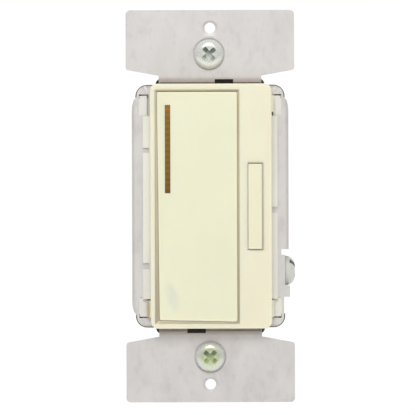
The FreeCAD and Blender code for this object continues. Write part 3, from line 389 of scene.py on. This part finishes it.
materials = {
    "strap": strap_metal(),
    # the frame's leftmost strip, its lower-left tab, is darkened: painted shadow of the frame
    "frame_ivory": tinted(ivory("ivory_frame", (0.925, 0.876, 0.690), 0.40, glow=0.8),
                          along("X", frame_left + 0.83, frame_left + 0.63),
                          (0.60, 0.53, 0.47)),
    "pad_ivory": tinted(ivory("ivory_pad", (0.890, 0.878, 0.672), 0.36, 11000, 0.000003, 0.8),
                        pad_scuff, (0.87, 0.90, 1.0)),
    "key_ivory": ivory("ivory_key", (0.890, 0.848, 0.645), 0.36, 11000, 0.000003, 0.8),
    # a lighter painted gap shade, for the lit foot side of the pad's gap
    "ivory_painted_lit_gap": ivory("ivory_painted_lit_gap", (0.97, 0.83, 0.65)),
    # painted shade of the narrow gaps round the pad and the key, darker towards the bottom
    "ivory_painted_gap_shade": tinted(ivory("ivory_painted_gap_shade", (0.685, 0.605, 0.435)),
                           along("Z", 4.0, -30.0), (0.78, 0.78, 0.78)),
    "white": plastic("neutral_white", (0.82, 0.81, 0.745), 0.5, 7000, 0.000005),
    "lug_white": plastic("lug_white", (0.86, 0.845, 0.79), 0.5, 7000, 0.000005),
    "lens": lens_material(),
    "housing": plastic("housing_black", (0.060, 0.045, 0.040), 0.52, 4200, 0.000014, 0.75),
    "black": plastic("black_plastic", (0.022, 0.022, 0.024), 0.45, 6000, 0.000006, 0.7),
    "zinc": plated("zinc_screw", (0.82, 0.84, 0.77), 0.25, 0.55,
                   rim=(0.85, 0.87, 0.82), centre=upper_head),
    "zinc_green": plated("zinc_screw_green", (0.68, 0.73, 0.47), 0.25, 0.6, mottle=0.86,
                         rim=(0.80, 0.81, 0.79), centre=lower_head),
    "ground": plated("ground_screw_zinc", (0.75, 0.77, 0.70), 0.40, 0.18, mottle=0.86),
    # the drive recesses are painted in shade, darker towards their top, away from the light
    # above
    "recess": tinted(plated("painted_shade_screw_drive", (0.78, 0.82, 0.73), 0.42, 0.5),
                     along("Z", upper_head.z - 0.72, upper_head.z + 1.28),
                     (0.44, 0.47, 0.49)),
    "recess_green": tinted(plated("painted_shade_green_screw_drive", (0.74, 0.82, 0.52), 0.42, 0.5),
                           along("Z", lower_head.z - 0.65, lower_head.z + 1.35),
                           (0.48, 0.50, 0.66)),
    # the ground screw's drive: painted shade, dark all over
    "recess_dark": plated("painted_dark_shade_screw_drive", (0.36, 0.40, 0.36), 0.42, 0.5),
    "brass": metal("terminal_brass", (0.78, 0.58, 0.26), 0.30),
    "nickel": metal("terminal_nickel", (0.70, 0.69, 0.66), 0.28),
    "steel": metal("rod_steel", (0.60, 0.60, 0.60), 0.26, (1, 1, 0.1)),
    "copper": metal("enamelled_copper", (0.62, 0.24, 0.09), 0.22),
    "board": board_material(),
    "fibre": fibre_material(),
    "thermal": thermal_pad(),
    "core": plastic("core_paint", (0.62, 0.54, 0.12), 0.48, 5200, 0.000012, 0.85),
    "film": plastic("film_case", (0.60, 0.42, 0.05), 0.32, 8000, 0.000004, 0.92),
    "blue": plastic("blue_epoxy", (0.020, 0.055, 0.30), 0.22, 1800, 0.00002, 0.8),
    "sleeve": plastic("can_sleeve", (0.020, 0.026, 0.055), 0.25, 9000, 0.000002, 0.8),
    "led": plastic("led_resin", (0.80, 0.62, 0.26), 0.18, 9000, 0.000002, 0.9),
}

finishes = {
    "strap": ["mounting_strap"],
    "frame_ivory": ["bezel_frame"],
    "pad_ivory": ["push_pad"],
    "key_ivory": ["dimming_rocker"],
    "white": ["front_carrier", "pad_cradle", "light_baffle", "pad_plunger",
              "brighten_plunger", "dim_plunger"],
    "lug_white": ["inner_tray"],
    "lens": ["light_bar_lens"],
    "housing": ["rear_housing"],
    "black": ["board_header", "pad_switch", "brighten_switch", "dim_switch",
              "microcontroller", "triac"],
    "zinc": ["box_screw_upper"],
    "zinc_green": ["box_screw_lower"],
    "ground": ["ground_screw"],
    "brass": ["line_terminal", "load_terminal", "traveler_terminal", "line_screw",
              "load_screw"],
    "nickel": ["traveler_screw"],
    "steel": ["hinge_rod", "rocker_pin", "triac_screw"],
    "copper": ["air_gap_bridge", "air_gap_contact_left", "air_gap_contact_right",
               "choke_winding"],
    "board": ["control_board", "power_board"],
    "fibre": ["screw_retainer_upper", "screw_retainer_lower"],
    "thermal": ["triac_insulator"],
    "core": ["choke_core", "fusible_resistor"],
    "film": ["film_capacitor", "snubber_capacitor"],
    "blue": ["varistor"],
    "sleeve": ["electrolytic_capacitor"],
    "led": ["level_leds"],
}

for finish, names in finishes.items():
    for name in names:
        mesh = nodes[name].data
        mesh.materials.clear()
        mesh.materials.append(materials[finish])


# ------------------------------------------------------------------ softened edges

SHARP_ANGLE = math.radians(35)
WELD_DISTANCE = 0.002
EDGE_WIDTHS = {
    "mounting_strap": 0.14, "bezel_frame": 0.12, "front_carrier": 0.1, "inner_tray": 0.15,
    "rear_housing": 0.12, "light_bar_lens": 0.05, "push_pad": 0.08, "dimming_rocker": 0.08,
}


def soften(thing, width):
    """Rounds a CAD node's sharp edges by modifiers."""
    weld = thing.modifiers.new("weld", "WELD")
    weld.merge_threshold = WELD_DISTANCE * MM
    bevel = thing.modifiers.new("bevel", "BEVEL")
    bevel.width = width * MM
    bevel.segments = 2
    bevel.limit_method = "ANGLE"
    bevel.angle_limit = SHARP_ANGLE
    bevel.use_clamp_overlap = True
    flat = thing.modifiers.new("flat", "WEIGHTED_NORMAL")
    flat.mode = "FACE_AREA"
    flat.weight = 100


for name, width in EDGE_WIDTHS.items():
    soften(nodes[name], width)


# ------------------------------------------------------------------ mesh helpers

def grid_faces(mesh_data, rows):
    """Quads between successive closed rings of vertices."""
    for lower, upper in zip(rows, rows[1:]):
        count = len(lower)
        for index in range(count):
            after = (index + 1) % count
            mesh_data.faces.new((lower[index], lower[after], upper[after], upper[index]))


def mesh_object(name, mesh_data):
    """An object in the scene made from mesh data, which is then freed."""
    mesh = bpy.data.meshes.new(name)
    mesh_data.to_mesh(mesh)
    mesh_data.free()
    thing = bpy.data.objects.new(name, mesh)
    bpy.context.scene.collection.objects.link(thing)
    return thing


# ------------------------------------------------------------------ threaded screws

VERTICES_AROUND = 48
RINGS_PER_TURN = 8
DOME_STEPS = 9
PITCH = 0.79
THREAD_DEPTH = 0.42 * PITCH
ROOT_SHARE = 0.12
FLANK_SHARE = 0.76
LEAD_LENGTH = 1.2
RUNOUT_LENGTH = 0.4
TIP_SHARE = 0.72
END_GAP = 0.02
RIM_ROUND = 0.02
RIM_CHAMFER = 0.1

ScrewShape = namedtuple("ScrewShape", (
    "head_radius", "head_height", "shank_radius", "length", "neck_radius", "neck_length",
    "upright",      # share of the head's height below its dome
    "flat",         # share of the head's radius that is flat
    "slot_depth",
    "cross_reach",  # width of the cross at the face of the head
))
BOX_SCREW = ScrewShape(head_radius=4.0, head_height=2.4, shank_radius=1.7, length=24.0,
                       neck_radius=1.25, neck_length=3.0, upright=0.3, flat=0.5,
                       slot_depth=0.0, cross_reach=4.3)
GROUND_SCREW = ScrewShape(head_radius=4.0, head_height=2.7, shank_radius=1.9, length=4.0,
                          neck_radius=1.7, neck_length=0.5, upright=0.1, flat=0.3,
                          slot_depth=1.5, cross_reach=4.3)
TERMINAL_SCREW = ScrewShape(head_radius=3.5, head_height=2.1, shank_radius=1.7, length=5.0,
                            neck_radius=1.5, neck_length=0.5, upright=0.36, flat=0.54,
                            slot_depth=0.85, cross_reach=3.9)

FRONT = Matrix.Rotation(math.radians(90), 4, "X")
RIGHT = Matrix.Rotation(math.radians(90), 4, "Y")
LEFT = Matrix.Rotation(math.radians(-90), 4, "Y")

SMOOTH_ANGLE = math.radians(32)
SCREWS = (
    # name, shape, body, slot, finish, recess finish with painted shade, side it faces, spin in
    # radians
    ("box_screw_upper", BOX_SCREW, "upper_box_screw", "zinc_screw", "zinc", "recess",
     FRONT, 0.70),
    ("box_screw_lower", BOX_SCREW, "lower_box_screw", "zinc_screw", "zinc_green",
     "recess_green", FRONT, 0.82),
    ("ground_screw", GROUND_SCREW, "ground_fastener", "green_screw", "ground",
     "recess_dark", RIGHT, 0.785),
    ("line_screw", TERMINAL_SCREW, "line_fastener", "brass_part", "brass", "brass",
     LEFT, 0.9),
    ("load_screw", TERMINAL_SCREW, "load_fastener", "brass_part", "brass", "brass",
     LEFT, 0.3),
    ("traveler_screw", TERMINAL_SCREW, "traveler_fastener", "steel", "nickel", "nickel",
     RIGHT, 2.0),
)


def thread_radius(shape, z, turn):
    """The shank's radius at a height, for a share of a turn."""
    if z > -shape.neck_length:
        return shape.neck_radius
    phase = (z / PITCH + turn) % 1.0
    crest = abs(phase * 2 - 1)
    ridge = min(1.0, max(0.0, (crest - ROOT_SHARE) / FLANK_SHARE))
    lead = min(1.0, (z + shape.length) / LEAD_LENGTH)
    runout = min(1.0, (-z - shape.neck_length) / RUNOUT_LENGTH)
    return shape.shank_radius - THREAD_DEPTH + THREAD_DEPTH * ridge * lead * runout


def threaded_screw(shape):
    """A screw along +Z from its seat at z = 0, with a real helical thread."""
    mesh_data = bmesh.new()
    rows = []

    def add_ring(z, radius_at):
        """One ring of vertices; its radius is a number, or changes with the share of a turn."""
        ring = []
        for index in range(VERTICES_AROUND):
            turn = index / VERTICES_AROUND
            radius = radius_at(turn) if callable(radius_at) else radius_at
            angle = 2 * math.pi * turn
            ring.append(mesh_data.verts.new((radius * MM * math.cos(angle),
                                             radius * MM * math.sin(angle), z * MM)))
        rows.append(ring)

    add_ring(-shape.length, (shape.shank_radius - THREAD_DEPTH) * TIP_SHARE)
    steps = int(shape.length / PITCH * RINGS_PER_TURN)
    for step in range(steps + 1):
        z = -shape.length + END_GAP + (shape.length - 2 * END_GAP) * step / steps
        add_ring(z, partial(thread_radius, shape, z))
    add_ring(0, shape.neck_radius)

    rim = shape.head_radius - RIM_ROUND
    dome_foot = shape.head_height * shape.upright
    dome_height = shape.head_height - dome_foot
    dome_width = shape.head_radius * (1 - shape.flat)
    add_ring(0, rim - RIM_CHAMFER)
    add_ring(RIM_CHAMFER, rim)
    add_ring(dome_foot * 0.5, shape.head_radius)
    add_ring(dome_foot, rim)
    for step in range(1, DOME_STEPS):
        angle = math.pi / 2 * step / DOME_STEPS
        add_ring(dome_foot + dome_height * math.sin(angle),
                 rim - dome_width * (1 - math.cos(angle)))
    for share in (0.92, 0.4):
        add_ring(shape.head_height, shape.head_radius * shape.flat * share)
    grid_faces(mesh_data, rows)
    mesh_data.faces.new(list(reversed(rows[0])))
    mesh_data.faces.new(rows[-1])
    bmesh.ops.recalc_face_normals(mesh_data, faces=mesh_data.faces)
    return mesh_data


SLOT_LENGTH_SHARE = 2.6
SLOT_WIDTH_SHARE = 0.32
CROSS_TOP_SHARE = 1.48
CROSS_FOOT_SHARE = 0.35
CROSS_ARM = 1.15
CROSS_DEPTH = 2.0


def cutter_box(length, width, depth, height, spin=0.0, foot_share=1.0):
    """A block that reaches as far above a height as below it; its foot may be shorter."""
    cutter = bmesh.new()
    bmesh.ops.create_cube(cutter, size=1.0)
    for vertex in cutter.verts:
        share = foot_share if vertex.co.z < 0 else 1.0
        vertex.co = Vector((vertex.co.x * length * share, vertex.co.y * width,
                            vertex.co.z * depth * 2))
        vertex.co.rotate(Matrix.Rotation(spin, 3, "Z"))
        vertex.co.z += height
    bmesh.ops.scale(cutter, vec=(MM, MM, MM), verts=cutter.verts)
    return mesh_object("cutter", cutter)


def drive_cutters(shape):
    """The blocks that cut a screw's slot and tapered cross recess."""
    cutters = []
    if shape.slot_depth:
        cutters.append(cutter_box(shape.head_radius * SLOT_LENGTH_SHARE,
                                  shape.head_radius * SLOT_WIDTH_SHARE,
                                  shape.slot_depth, shape.head_height))
    # at the head's face, halfway down, a tapered block is as long as the cross reaches
    for spin in (0.0, math.pi / 2):
        cutters.append(cutter_box(shape.cross_reach * CROSS_TOP_SHARE, CROSS_ARM,
                                  CROSS_DEPTH, shape.head_height, spin, CROSS_FOOT_SHARE))
    return cutters


def cut_drive(thing, shape, recess):
    """Cuts the drive out of a screw head; the faces of the cuts have the recess finish, with
    painted shade.
    """
    for cutter in drive_cutters(shape):
        cutter.data.materials.append(materials[recess])
        boolean = thing.modifiers.new("cut", "BOOLEAN")
        boolean.operation = "DIFFERENCE"
        boolean.solver = "EXACT"
        boolean.material_mode = "TRANSFER"
        boolean.object = cutter
        bpy.context.view_layer.update()
        result = bpy.data.meshes.new_from_object(
            thing.evaluated_get(bpy.context.evaluated_depsgraph_get()))
        thing.modifiers.clear()
        old = thing.data
        thing.data = result
        bpy.data.meshes.remove(old)
        bpy.data.objects.remove(cutter)


def seat_of(name, facing, head_height):
    """The point under a screw's head: the face of the CAD screw's box, less the head."""
    low, high = box_mm(name)
    outward = facing @ Vector((0, 0, 1))
    half_length = abs(outward.dot(high - low)) / 2
    return ((low + high) / 2 + outward * (half_length - head_height)) * MM


for name, shape, body, slot, finish, recess, facing, spin in SCREWS:
    thing = mesh_object(name + "_detail", threaded_screw(shape))
    thing.data.materials.append(materials[finish])
    cut_drive(thing, shape, recess)
    seat = seat_of(name, facing, shape.head_height)
    thing.data.transform(Matrix.Translation(seat) @ facing @ Matrix.Rotation(spin, 4, "Z"))
    for polygon in thing.data.polygons:
        polygon.use_smooth = True
    thing.data.set_sharp_from_angle(angle=SMOOTH_ANGLE)
    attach(thing, body)
    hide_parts(name)


# ------------------------------------------------------------------ reveal ledges

LEDGE_BACK = -5.05
LEDGE_ROUND = 0.05


def rectangle(left, low, right, high):
    """The corners of an upright rectangle, from the lower left one to the right."""
    return [(left, low), (right, low), (right, high), (left, high)]


def reveal_ledge(name, outer, inner, fronts, lit_sides, lit_finish):
    """A narrow ledge in the gap round a moving piece, between two outlines (x, z).

    Each corner has its own front level; the back is flat. Its colours paint the gap's shade:
    the lit sides, counted from the foot, have the lit finish; the others take the deeper
    painted shade of a narrow gap.
    """
    mesh_data = bmesh.new()
    backs = [LEDGE_BACK] * len(outer)
    loops = []
    for outline, levels in ((outer, fronts), (inner, fronts), (inner, backs), (outer, backs)):
        loops.append([mesh_data.verts.new((across * MM, deep * MM, up * MM))
                      for (across, up), deep in zip(outline, levels)])
    grid_faces(mesh_data, loops + [loops[0]])
    bmesh.ops.recalc_face_normals(mesh_data, faces=mesh_data.faces)
    thing = mesh_object(name, mesh_data)
    for finish in ("ivory_painted_gap_shade", lit_finish):
        thing.data.materials.append(materials[finish])
    for polygon in thing.data.polygons:
        polygon.material_index = int(polygon.index % len(outer) in lit_sides)
    bevel = thing.modifiers.new("bevel", "BEVEL")
    bevel.width = LEDGE_ROUND * MM
    bevel.segments = 2
    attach(thing, "chassis")


reveal_ledge("pad_reveal_ledge",
             outer=rectangle(-15.02, -31.92, 7.92, 31.57),
             inner=[(-13.86, -30.96), (7.36, -31.47), (7.36, 31.14), (-14.48, 31.14)],
             fronts=[-6.1, -6.3, -6.2, -6.3],
             lit_sides=(0,), lit_finish="ivory_painted_lit_gap")
reveal_ledge("key_reveal_ledge",
             outer=rectangle(10.10, -11.94, 14.42, 11.85),
             inner=rectangle(10.30, -11.81, 14.01, 11.57),
             fronts=[-6.57, -6.53, -6.5, -6.53],
             lit_sides=(0, 3), lit_finish="frame_ivory")


# ------------------------------------------------------------------ floor and sky

# The studio's places and sizes are in metres.
FLOOR_RADIUS = 0.95
FLOOR_LEVEL = -0.125


def floor_paper():
    """A plain pale studio surface, with a little light of its own."""
    colour = (0.93, 0.93, 0.93)
    material, tree, shader, place = new_material("floor_paper")
    base = shades(tree, noise(tree, place, 3, 2), scaled(colour, 0.985), colour)
    tree.links.new(base, shader.inputs["Base Color"])
    shader.inputs["Roughness"].default_value = 0.9
    shader.inputs["Emission Color"].default_value = (*WHITE, 1)
    shader.inputs["Emission Strength"].default_value = 0.06
    return material


floor_data = bmesh.new()
bmesh.ops.create_circle(floor_data, cap_ends=True, segments=96, radius=FLOOR_RADIUS)
floor = mesh_object("floor", floor_data)
floor.location = (0, 0, FLOOR_LEVEL)
floor.data.materials.append(floor_paper())

world = bpy.data.worlds.new("studio")
world.use_nodes = True
bpy.context.scene.world = world
sky = world.node_tree
background = sky.nodes["Background"]
background.inputs["Color"].default_value = (*WHITE, 1)

# The sky is brightest behind the object; elsewhere it grows brighter from its foot to its top.
SKY_BEHIND = 1.02
SKY_FOOT = 0.22
SKY_TOP = 0.66
direction = add(sky, "ShaderNodeTexCoord").outputs["Generated"]
behind = ranged(sky, axis_of(sky, direction, "Y"), 0.0, 0.7, curve="SMOOTHSTEP")
above = ranged(sky, axis_of(sky, direction, "Z"), -0.9, 0.9, SKY_FOOT, SKY_TOP,
               "SMOOTHSTEP")
brightness = add(sky, "ShaderNodeMix", data_type="FLOAT", in_B=SKY_BEHIND)
sky.links.new(behind, brightness.inputs["Factor"])
sky.links.new(above, brightness.inputs["A"])
sky.links.new(brightness.outputs["Result"], background.inputs["Strength"])


# ------------------------------------------------------------------ key light and camera

LIGHT_PLACE = Vector((-0.02, -0.48, 0.36))
LIGHT_SIZE = 0.22
LIGHT_POWER = 1.2

light_data = bpy.data.lights.new("key", "AREA")
light_data.shape = "SQUARE"
light_data.size = LIGHT_SIZE
light_data.energy = LIGHT_POWER
light = bpy.data.objects.new("key", light_data)
light.location = LIGHT_PLACE
light.rotation_euler = (-LIGHT_PLACE).to_track_quat("-Z", "Y").to_euler()
bpy.context.scene.collection.objects.link(light)

# The view is VIEW_WIDTH wide where it crosses the depth of the object's face.
CAMERA_PLACE = (-0.00076, -1.5, -0.00038)
CAMERA_ROLL = math.radians(0.16)
FACE_DEPTH = -0.004
VIEW_WIDTH = 0.11259

camera_data = bpy.data.cameras.new("camera")
camera_data.sensor_width = 36
camera_data.lens = camera_data.sensor_width * (FACE_DEPTH - CAMERA_PLACE[1]) / VIEW_WIDTH
camera_data.clip_start = 0.01
camera_data.clip_end = 20
camera = bpy.data.objects.new("camera", camera_data)
camera.location = CAMERA_PLACE
camera.rotation_euler = (math.radians(90), CAMERA_ROLL, 0)
bpy.context.scene.collection.objects.link(camera)
bpy.context.scene.camera = camera
bpy.context.scene.view_settings.view_transform = "Standard"
bpy.context.scene.view_settings.look = "None"
